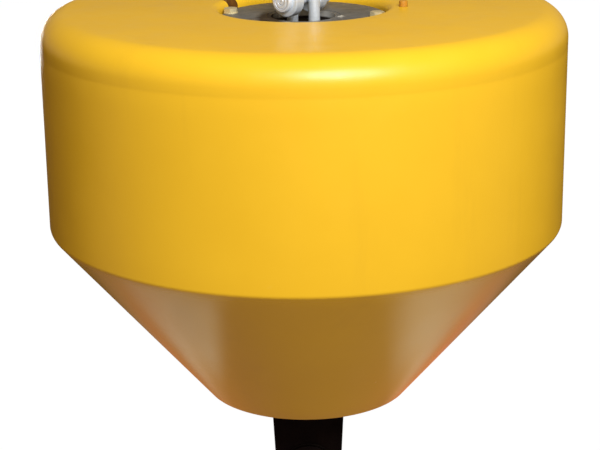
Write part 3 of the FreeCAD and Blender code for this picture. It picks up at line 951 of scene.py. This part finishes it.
def mirrored_glow(n, reach):
    """What the glossy cone mirrors: pale in front with a dim middle, beige at the sides, orange behind."""
    across, behind, _ = n.axes()
    is_right = n.fade(across, *GLOW_EDGES["front_right"])
    front = n.mix(is_right, n.ramp(reach, GLOW_FRONT_LEFT), n.ramp(reach, GLOW_FRONT_RIGHT))
    left_of_middle = n.fade(across, *GLOW_EDGES["left_of_middle"])
    right_of_middle = n.fade(across, *GLOW_EDGES["right_of_middle"])
    middle = n.mix(n.fade(behind, *GLOW_EDGES["axis"]), GLOW_MIDDLE_IN_FRONT, GLOW_MIDDLE_AT_AXIS)
    beside_middle = n.math("MAXIMUM", left_of_middle, right_of_middle)
    front = n.mix(beside_middle, middle, n.times(front, GLOW_STRENGTH["front"]))
    sides = n.times(n.ramp(reach, GLOW_SIDES), GLOW_STRENGTH["sides"])
    back_right = n.times(n.ramp(reach, GLOW_BACK), GLOW_STRENGTH["back"])
    back_left = n.times(back_right, GLOW_BACK_LEFT_SHARE)
    back = n.mix(n.fade(across, *GLOW_EDGES["back_right"]), back_left, back_right)
    glow = n.mix(n.fade(behind, *GLOW_EDGES["sides"]), front, sides)
    glow = n.mix(n.fade(behind, *GLOW_EDGES["back"]), glow, back)
    clouds = n.ramp(n.noise(7.0, 4, 0.6), [(0.35, 0.85), (0.65, 1.0)])
    return n.times(glow, clouds)


def floor_paint():
    """White to the camera. Other rays meet a glow: dim and warm, or what the cone mirrors."""
    n = Finish("floor_paint")
    reach = n.math("DIVIDE", n.distance((0, 0, 0)), GLOW_SPAN)
    glow = n.mix(n.is_ray("Glossy"), n.ramp(reach, GLOW_THROWN), mirrored_glow(n, reach))
    emission = n.mix(n.is_ray("Camera"), glow, WHITE)
    return n.done(
        Base_Color=(0.02, 0.02, 0.02), Roughness=1.0, Specular_IOR_Level=0.0,
        Emission_Color=emission, Emission_Strength=1.0,
    )


def make_floor():
    """A floor at the level of the buoy's lowest point: plain white to the camera, and a glow to other rays
    that paints the cone's reflections and a fill light.
    """
    side, level = FLOOR_HALF_SIDE, cad_box[0][2]
    corners = [(-side, -side, level), (side, -side, level), (side, side, level), (-side, side, level)]
    floor = mesh_object("floor", corners, [(0, 1, 2, 3)])
    paint(floor, floor_paint())


def area_light(name, place, aim, size, watts):
    """A rectangular soft light that points at a place."""
    lamp = bpy.data.lights.new(name, "AREA")
    lamp.shape = "RECTANGLE"
    lamp.size, lamp.size_y = size
    lamp.energy = watts
    made = new_object(name, lamp)
    made.location = place
    made.rotation_euler = (Vector(aim) - Vector(place)).to_track_quat("-Z", "Y").to_euler()


def light_studio():
    """A large soft light at the front right, a low one behind, and a dim warm world, white to the camera."""
    world = bpy.data.worlds.new("studio")
    bpy.context.scene.world = world
    world.use_nodes = True
    n = Nodes(world.node_tree, "Generated")
    sky = n.ramp(n.axes()[2], SKY)
    n.feed(n.tree.nodes["Background"].inputs["Color"], n.mix(n.is_ray("Camera"), sky, WHITE))
    for name, light in LIGHTS.items():
        area_light(name, **light)


def add_camera():
    """The photograph's viewpoint: in front, looking down, and turned a little off the axis."""
    lens = bpy.data.cameras.new("camera")
    lens.lens = CAMERA["lens"]
    lens.sensor_width = CAMERA["sensor"]
    camera = new_object("camera", lens)
    camera.location = (0, -CAMERA["distance"], CAMERA["height"])
    aim = (
        Matrix.Rotation(math.radians(CAMERA["pan"]), 4, "Z")
        @ Matrix.Rotation(math.radians(90 - CAMERA["tilt"]), 4, "X")
        @ Matrix.Rotation(math.radians(CAMERA["roll"]), 4, "Z")
    )
    camera.rotation_euler = aim.to_euler()
    bpy.context.scene.camera = camera


# ---- putting it together ------------------------------------------------------------------------

add_camera()
zinc = galvanised("zinc", (0.72, 0.79, 0.87), (0.86, 0.93, 1.0), 0.28, 0.42)
yellow_zinc = galvanised("passivated_zinc", (0.46, 0.40, 0.26), (0.80, 0.70, 0.42), 0.26, 0.42)
dull_zinc = plate_steel()
black = black_paint()
# The float's holes are painted dark brown as painted shade.
make_float(yellow_plastic(), painted_shade_plastic())
make_plug(plug_plastic())
make_plate(dull_zinc)
make_bolts(yellow_zinc)
make_link(zinc)
make_shackle_bow(zinc)
make_pin(turned_steel())
make_nut(zinc)
make_split_pin(zinc)
make_eye(black)
make_eye_welds(black)
# The core tube shares the plate's finish: painted light in its bore and painted shade low down.
paint(frame["nodes"]["core_tube"], dull_zinc)
for node in ("link_seat", "bottom_flange"):
    paint(frame["nodes"][node], black)

make_floor()
light_studio()
bpy.context.scene.view_settings.view_transform = "Standard"
